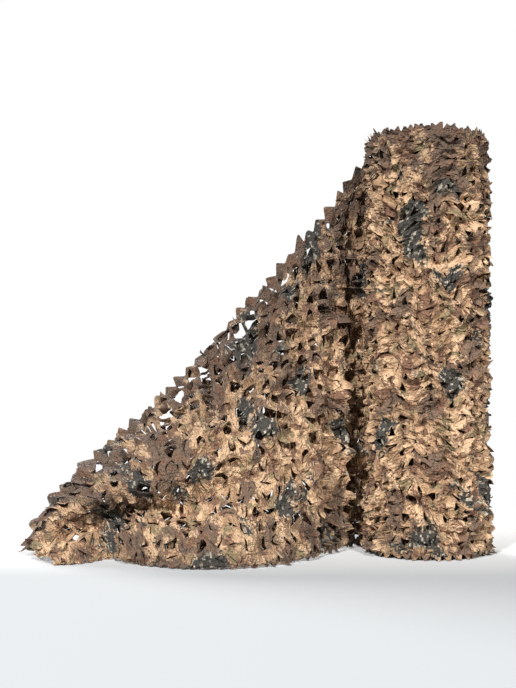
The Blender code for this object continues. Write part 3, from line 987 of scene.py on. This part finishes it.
class NET_OT_loose_end(bpy.types.Operator):
    """Models the loose end: the net that shows and the layer of the same net behind it"""

    bl_idname = "net.loose_end"
    bl_label = "Loose End"

    def execute(self, context):
        cuts = context.scene.net_cuts
        drape = Drape()
        columns = round(drape.length / cuts.along)
        rows = math.ceil(drape.heights.max() / cuts.up)
        pitch = (drape.length / columns, cuts.up)
        flat_area = float(drape.heights.mean() * drape.length)

        def past_edge(along, up):
            """Over 0 next to the selvedge and the hem, where the chains of leaves take over."""
            return np.maximum(up - drape.height(along) + SELVEDGE_TRIM, HEM_TRIM - up)

        def selvedge(distance):
            return np.stack((distance, drape.height(distance) - SELVEDGE_TRIM), axis=-1)

        front = joined(leaf_net(drape, pitch, columns, rows, cuts.seed, LOOSE_STYLE, past_edge),
                       edge_chain(drape, drape.length, selvedge, "selvedge", cuts.point, cuts.seed),
                       edge_chain(drape, drape.length, level_line(HEM_LINE), "hem", cuts.point, cuts.seed))
        cloth = printed_cloth("Printed polyester oxford")
        self.add_sheet("loose_end_cloth", front, cloth, cuts.thickness, flat_area, ("net_roll",))

        def past_band(along, up):
            """Over 0 at the hem and in an uneven band below the selvedge, closed where the cloth is low."""
            height = drape.height(along)
            uneven = 0.5 + 0.5 * np.sin(along / UNDER_UNEVEN[0]) * np.sin(along / UNDER_UNEVEN[1] + 1.0)
            band = (UNDER_BAND[0] + UNDER_BAND[1] * uneven) * set_in(height, *UNDER_CLOSES)
            return np.maximum(up - height + band, UNDER_HEM_TRIM - up)

        under = leaf_net(Behind(), (pitch[0] * UNDER_PITCH, pitch[1] * UNDER_PITCH),
                         round(columns / UNDER_PITCH), round(rows / UNDER_PITCH), cuts.seed + UNDER_SEED,
                         UNDER_STYLE, past_band)
        # The layer behind gets the print darkened by its tint: painted shade for the holes.
        reverse = printed_cloth("Printed polyester oxford, reverse side", context.scene.net_print.reverse)
        self.add_sheet("loose_end_under_layer", under, reverse, 0.0, flat_area,
                       ("net_roll", "loose_end_cloth"))
        return {"FINISHED"}

    @staticmethod
    def add_sheet(name, shape, cloth, thickness, flat_area, rests_on):
        piece = cloth_object(name, shape, cloth, thickness)
        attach(piece, "root")
        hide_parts("net_loose_end")


CORE_RADIUS, CORE_DIP = 0.183, 0.02
CORE_FOOT, CORE_LOW_END = 0.012, 0.050    # from the wound mass to the roll's lower and upper ends
CORE_ROWS, CORE_STEPS, CORE_TOP_STEPS, CORE_FOOT_STEPS = 12, 64, 8, 6


def core_shape():
    """The wound mass as a closed profile, from the foot's middle to the top's, carried round the axis."""
    top_height = ROLL_HEIGHT - CORE_LOW_END
    profile = np.concatenate((
        np.linspace((0.0, CORE_FOOT), (CORE_RADIUS, CORE_FOOT), CORE_FOOT_STEPS)[:-1],
        np.linspace((CORE_RADIUS, CORE_FOOT), (CORE_RADIUS, top_height), CORE_ROWS),
        np.linspace((CORE_RADIUS, top_height), (0.0, top_height - CORE_DIP), CORE_TOP_STEPS)[1:]))
    angle = np.linspace(0.0, 2 * math.pi, CORE_STEPS + 1)
    radius, height = profile[:, :1], profile[:, 1:]
    points = np.stack((radius * np.cos(angle), radius * np.sin(angle), height + 0.0 * angle), axis=-1)
    flat = np.stack(np.broadcast_arrays(CORE_RADIUS * angle[None, :], height, ROLL_HEIGHT - height), axis=-1)
    faces = grid_faces(np.array([0]), len(profile), CORE_STEPS + 1)
    return points.reshape(-1, 3), faces[:, ::-1], flat.reshape(-1, 3)


ROLL_CUTS_END, ROLL_TRIM, FOOT_LINE = 0.03, 0.018, 0.022
TOP_LINE = (0.004, 0.010)    # how far the top chain lies below the cuts, and its wave
TURNS_LINE, TURNS_STRIP = 0.035, 0.075    # from the roll's upper end, and height of what shows
ROLL_TURNS = (("roll_outer_turn", -0.008, 21), ("roll_under_turn", -0.014, 22))    # name, offset and seed


class NET_OT_roll(bpy.types.Operator):
    """Models the roll: its outer turn, the turn under it, the wound mass inside and the ends of the turns"""

    bl_idname = "net.roll"
    bl_label = "Roll"

    def execute(self, context):
        cuts = context.scene.net_cuts
        cloth = printed_cloth("Printed polyester oxford, roll")
        around = 2 * math.pi * ROLL_RADIUS
        tall = ROLL_HEIGHT - ROLL_CUTS_END
        columns, rows = round(around / cuts.roll), round(tall / cuts.roll)
        pitch = (around / columns, tall / rows)
        top_line = level_line(tall - TOP_LINE[0], TOP_LINE[1])
        for name, offset, seed in ROLL_TURNS:
            wound, seed = Wound(offset), cuts.seed + seed
            turn = joined(leaf_net(wound, pitch, columns, rows, seed, ROLL_STYLE,
                                   lambda along, up: ROLL_TRIM - up, around=True),
                          edge_chain(wound, around, top_line, "roll top", cuts.point, seed),
                          edge_chain(wound, around, level_line(FOOT_LINE), "roll foot", cuts.point, seed))
            self.add_cloth(name, turn, cloth, 0.0, (ROLL_HEIGHT, around))
        spiral = Spiral()
        ends = edge_chain(spiral, spiral.length, level_line(ROLL_HEIGHT - TURNS_LINE), "upper turns",
                          cuts.point, cuts.seed)
        self.add_cloth("roll_upper_turns", ends, cloth, cuts.thickness, (TURNS_STRIP, spiral.length))
        core = cloth_object("roll_inner_turns", core_shape(), inner_cloth("Net cloth, inner turns"))
        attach(core, "root")
        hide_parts("net_roll")
        return {"FINISHED"}

    @staticmethod
    def add_cloth(name, shape, cloth, thickness, flat):
        piece = cloth_object(name, shape, cloth, thickness)
        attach(piece, "root")
        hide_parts("net_roll")


# ---------------- stage

FLOOR_LEFT, FLOOR_RIGHT = -4.2, 3.0
# Front of the floor, where the painted light that whitens it towards its back starts, and its back.
FLOOR_FRONT, FLOOR_FADE_START, FLOOR_BACK = -3.2, -0.55, 0.62
# Name, where it stands from the net, share of the key light and size in degrees.
LIGHTS = (
    ("right_light", (0.36, -0.84, 0.52), 0.43, 6.0),
    ("left_light", (-0.40, -0.82, 0.54), 0.67, 6.0),
    ("back_light", (-2.0, 4.0, 3.2), 0.42, 30.0),
)
SKY_TINT = (1.0, 0.88, 0.76)
CAMERA_PLACE = (-0.604, -5.3, 0.743)


def make_floor(look):
    """A level floor under the net."""
    corners = [(x, y, 0.0) for x, y in ((FLOOR_LEFT, FLOOR_FRONT), (FLOOR_RIGHT, FLOOR_FRONT),
                                        (FLOOR_RIGHT, FLOOR_BACK), (FLOOR_LEFT, FLOOR_BACK))]
    mesh = bpy.data.meshes.new("floor")
    mesh.from_pydata(corners, [], [(0, 1, 2, 3)])
    mesh.materials.append(painted_floor("Matt studio floor", look.floor))
    floor = add_object("floor", mesh)


def make_lights(look):
    """Two broad lights high in front, a weak one from behind, and a pale sky that is seen as white."""
    for name, stands, share, spread in LIGHTS:
        light = bpy.data.lights.new(name, "SUN")
        light.energy = share * look.key
        light.angle = math.radians(spread)
        add_object(name, light).rotation_euler = Vector(stands).to_track_quat("Z", "Y").to_euler()
    world = bpy.data.worlds.new("Pale sky")
    world.use_nodes = True
    tree = world.node_tree
    seen = add_node(tree, "ShaderNodeLightPath").outputs["Is Camera Ray"]
    sky = tuple(look.sky * channel for channel in SKY_TINT) + (1.0,)
    colour = add_node(tree, "ShaderNodeMix", {0: seen, 6: sky, 7: (*WHITE, 1.0)}, data_type="RGBA").outputs[2]
    tree.links.new(colour, tree.nodes["Background"].inputs["Color"])
    bpy.context.scene.world = world


def make_camera(look):
    """Camera level with the middle of the net, well in front of it, straight along +Y."""
    data = bpy.data.cameras.new("camera")
    data.lens = look.lens
    camera = add_object("camera", data)
    camera.location = CAMERA_PLACE
    camera.rotation_euler = (math.radians(90), 0.0, 0.0)
    bpy.context.scene.camera = camera


class NET_OT_stage(bpy.types.Operator):
    """Sets the floor, the lights, the sky and the camera"""

    bl_idname = "net.stage"
    bl_label = "Stage"

    def execute(self, context):
        look = context.scene.net_stage
        context.scene.view_settings.view_transform = "Standard"
        make_floor(look)
        make_lights(look)
        make_camera(look)
        return {"FINISHED"}


class NET_PT_sidebar(bpy.types.Panel):
    """Lists the net's settings and its pieces"""

    bl_idname = "NET_PT_sidebar"
    bl_label = "Camouflage Net"
    bl_space_type = "VIEW_3D"
    bl_region_type = "UI"
    bl_category = "Net"

    def draw(self, context):
        layout = self.layout
        for group in (context.scene.net_cuts, context.scene.net_print, context.scene.net_stage):
            box = layout.box()
            for name in group.__annotations__:
                box.prop(group, name)
        for operator in OPERATORS:
            layout.operator(operator.bl_idname)


OPERATORS = (NET_OT_stage, NET_OT_loose_end, NET_OT_roll)
CLASSES = (NetCuts, NetPrint, NetStage, *OPERATORS, NET_PT_sidebar)


def register():
    for cls in CLASSES:
        bpy.utils.register_class(cls)
    bpy.types.Scene.net_cuts = PointerProperty(type=NetCuts)
    bpy.types.Scene.net_print = PointerProperty(type=NetPrint)
    bpy.types.Scene.net_stage = PointerProperty(type=NetStage)


def unregister():
    del bpy.types.Scene.net_stage
    del bpy.types.Scene.net_print
    del bpy.types.Scene.net_cuts
    for cls in reversed(CLASSES):
        bpy.utils.unregister_class(cls)


def main():
    register()
    bpy.ops.net.stage()
    bpy.ops.net.loose_end()
    bpy.ops.net.roll()


if __name__ == "__main__":
    main()
